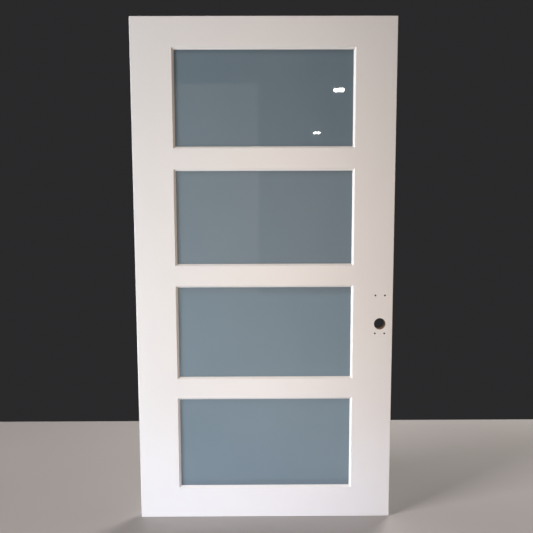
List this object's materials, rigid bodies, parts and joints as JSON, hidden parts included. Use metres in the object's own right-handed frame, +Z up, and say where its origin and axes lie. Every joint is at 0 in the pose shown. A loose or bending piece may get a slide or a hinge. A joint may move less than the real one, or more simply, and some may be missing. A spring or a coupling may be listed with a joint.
{
  "type": "glass door",
  "caption": "White stile-and-rail door leaf with landscape lights of translucent glass, bevelled sticking, rear glazing beads and bored lock holes, without its jamb.",
  "frame": {"origin": "middle of the leaf's bottom edge, at mid thickness", "axes": "+Z up the leaf, +X from the hinge edge to the lock edge, +Y from the front face to the back face that carries the glazing beads"},
  "size_m": [1.2, 0.04, 2.34],
  "materials": {
    "white_paint": "satin white paint on wood",
    "translucent_glass": "translucent laminated glass, glossy on both faces",
    "glazing_tape": "matte foam",
    "setting_block": "matte",
    "pin_steel": "bright wire",
    "dowel_wood": "raw beech"
  },
  "bodies": {
    "root": {"hinge_stile": "white_paint", "lock_stile": "white_paint", "top_rail": "white_paint", "upper_cross_rail": "white_paint", "middle_cross_rail": "white_paint", "lower_cross_rail": "white_paint", "bottom_rail": "white_paint", "top_pane": "translucent_glass", "upper_pane": "translucent_glass", "lower_pane": "translucent_glass", "bottom_pane": "translucent_glass", "top_pane_front_tape": "glazing_tape", "top_pane_rear_tape": "glazing_tape", "upper_pane_front_tape": "glazing_tape", "upper_pane_rear_tape": "glazing_tape", "lower_pane_front_tape": "glazing_tape", "lower_pane_rear_tape": "glazing_tape", "bottom_pane_front_tape": "glazing_tape", "bottom_pane_rear_tape": "glazing_tape", "top_pane_head_bead": "white_paint", "top_pane_sill_bead": "white_paint", "top_pane_hinge_side_bead": "white_paint", "top_pane_lock_side_bead": "white_paint", "upper_pane_head_bead": "white_paint", "upper_pane_sill_bead": "white_paint", "upper_pane_hinge_side_bead": "white_paint", "upper_pane_lock_side_bead": "white_paint", "lower_pane_head_bead": "white_paint", "lower_pane_sill_bead": "white_paint", "lower_pane_hinge_side_bead": "white_paint", "lower_pane_lock_side_bead": "white_paint", "bottom_pane_head_bead": "white_paint", "bottom_pane_sill_bead": "white_paint", "bottom_pane_hinge_side_bead": "white_paint", "bottom_pane_lock_side_bead": "white_paint", "setting_blocks": "setting_block", "bead_pins": "pin_steel", "dowels": "dowel_wood"}
  },
  "joints": []
}
